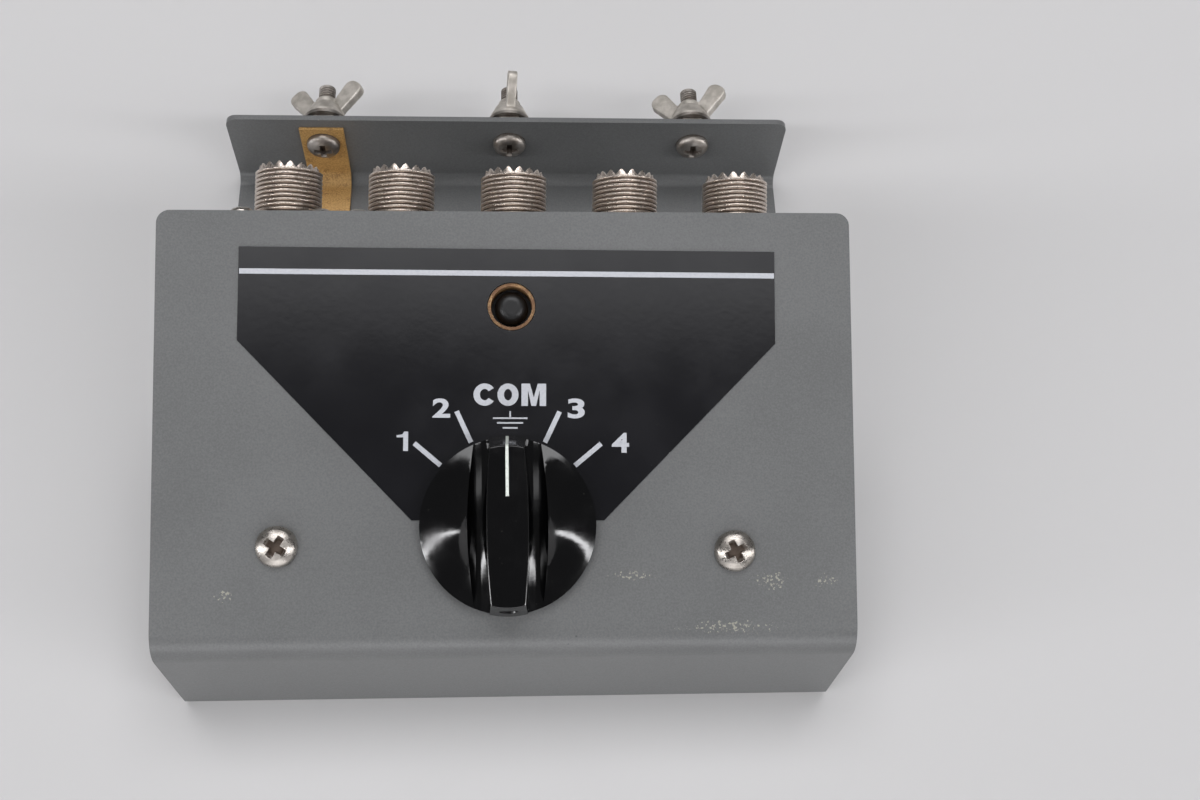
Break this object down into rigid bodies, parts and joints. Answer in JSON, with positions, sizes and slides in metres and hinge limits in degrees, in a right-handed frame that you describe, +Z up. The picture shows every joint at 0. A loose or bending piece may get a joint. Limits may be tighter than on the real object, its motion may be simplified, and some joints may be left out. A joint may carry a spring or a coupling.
{
  "type": "coaxial antenna switch",
  "caption": "Coaxial antenna switch on a bent sheet stand: sloping panel with a bar knob over a milled housing, threaded sockets at the back, ground bolts with wing nuts on a rear flange.",
  "frame": {"origin": "middle of the base's flat underside", "axes": "+X to the right seen from the knob's side, +Y to the back flange with the ground bolts, +Z up"},
  "size_m": [0.1588, 0.1772, 0.0783],
  "materials": {
    "gray_paint": "satin textured paint",
    "label_black": "printed plastic plate",
    "milled_aluminium": "milled",
    "steel": "zinc plated",
    "bolt_steel": "stainless",
    "contact_brass": "silver plated brass, dull",
    "phenolic": "phenolic sheet",
    "nickel": "dull nickel plate",
    "insulator": "moulded insulator",
    "knob_black": "polished moulding",
    "sleeve_brass": "tarnished",
    "cap_black": "moulded",
    "ceramic": "glazed ceramic",
    "strap_brass": "tarnished",
    "wing_zinc": "cast, dull plating"
  },
  "bodies": {
    "stand": {"bushing_nut": "nickel", "common_strip": "contact_brass", "console_stand": "gray_paint", "cover_screws": "steel", "detent_plate": "steel", "feed_strip_1": "contact_brass", "feed_strip_2": "contact_brass", "feed_strip_3": "contact_brass", "feed_strip_4": "contact_brass", "front_label": "label_black", "ground_bolts": "bolt_steel", "ground_contact": "contact_brass", "ground_strap": "strap_brass", "hex_nuts": "steel", "housing_cover": "milled_aluminium", "lock_washers": "steel", "panel_screws": "steel", "shaft_bushing": "nickel", "socket_contact_1": "contact_brass", "socket_contact_2": "contact_brass", "socket_contact_3": "contact_brass", "socket_contact_4": "contact_brass", "socket_contact_common": "contact_brass", "socket_insulator_1": "insulator", "socket_insulator_2": "insulator", "socket_insulator_3": "insulator", "socket_insulator_4": "insulator", "socket_insulator_common": "insulator", "socket_screws": "steel", "socket_shell_1": "nickel", "socket_shell_2": "nickel", "socket_shell_3": "nickel", "socket_shell_4": "nickel", "socket_shell_common": "nickel", "stator_wafer": "phenolic", "stop_pins": "steel", "surge_sleeve": "sleeve_brass", "switch_housing": "milled_aluminium", "wafer_posts": "steel", "wafer_screws": "steel"},
    "selector": {"selector_knob": "knob_black", "knob_set_screw": "steel", "selector_shaft": "steel", "shaft_clip": "steel", "detent_carrier": "steel", "detent_balls": "steel", "detent_spring": "steel", "rotor_hub": "phenolic", "slip_ring": "contact_brass", "rotor_blade": "contact_brass"},
    "surge_plug": {"surge_cap": "cap_black", "surge_tube": "ceramic", "surge_electrodes": "nickel"},
    "washer_1": {"wing_washer_1": "steel"},
    "wing_nut_1": {"wing_nut_1": "wing_zinc"},
    "washer_2": {"wing_washer_2": "steel"},
    "wing_nut_2": {"wing_nut_2": "wing_zinc"},
    "washer_3": {"wing_washer_3": "steel"},
    "wing_nut_3": {"wing_nut_3": "wing_zinc"}
  },
  "joints": [
    {"name": "knob_turn", "type": "hinge", "parent": "stand", "child": "selector", "pos_m": [0, -0.05354, 0.05075], "axis": [0, -0.3827, 0.9239], "range_deg": [-50, 50]},
    {"name": "surge_plug_pull", "type": "slide", "parent": "stand", "child": "surge_plug", "axis": [0, -0.3827, 0.9239], "range_m": [0, 0.024]},
    {"name": "washer_1_slide", "type": "slide", "parent": "stand", "child": "washer_1", "axis": [0, 1, 0], "range_m": [0, 0.003]},
    {"name": "wing_nut_1_turn", "type": "hinge", "parent": "washer_1", "child": "wing_nut_1", "pos_m": [-0.053, 0.0839, 0.0188], "axis": [0, 1, 0], "range_deg": [0, 1360]},
    {"name": "washer_2_slide", "type": "slide", "parent": "stand", "child": "washer_2", "axis": [0, 1, 0], "range_m": [0, 0.003]},
    {"name": "wing_nut_2_turn", "type": "hinge", "parent": "washer_2", "child": "wing_nut_2", "pos_m": [0, 0.0839, 0.0188], "axis": [0, 1, 0], "range_deg": [0, 1360]},
    {"name": "washer_3_slide", "type": "slide", "parent": "stand", "child": "washer_3", "axis": [0, 1, 0], "range_m": [0, 0.003]},
    {"name": "wing_nut_3_turn", "type": "hinge", "parent": "washer_3", "child": "wing_nut_3", "pos_m": [0.053, 0.0839, 0.0188], "axis": [0, 1, 0], "range_deg": [0, 1360]}
  ],
  "couplings": [
    {"joint": "washer_1_slide", "follows": "wing_nut_1_turn", "m_per_rad": 0.00012633},
    {"joint": "washer_2_slide", "follows": "wing_nut_2_turn", "m_per_rad": 0.00012633},
    {"joint": "washer_3_slide", "follows": "wing_nut_3_turn", "m_per_rad": 0.00012633}
  ]
}
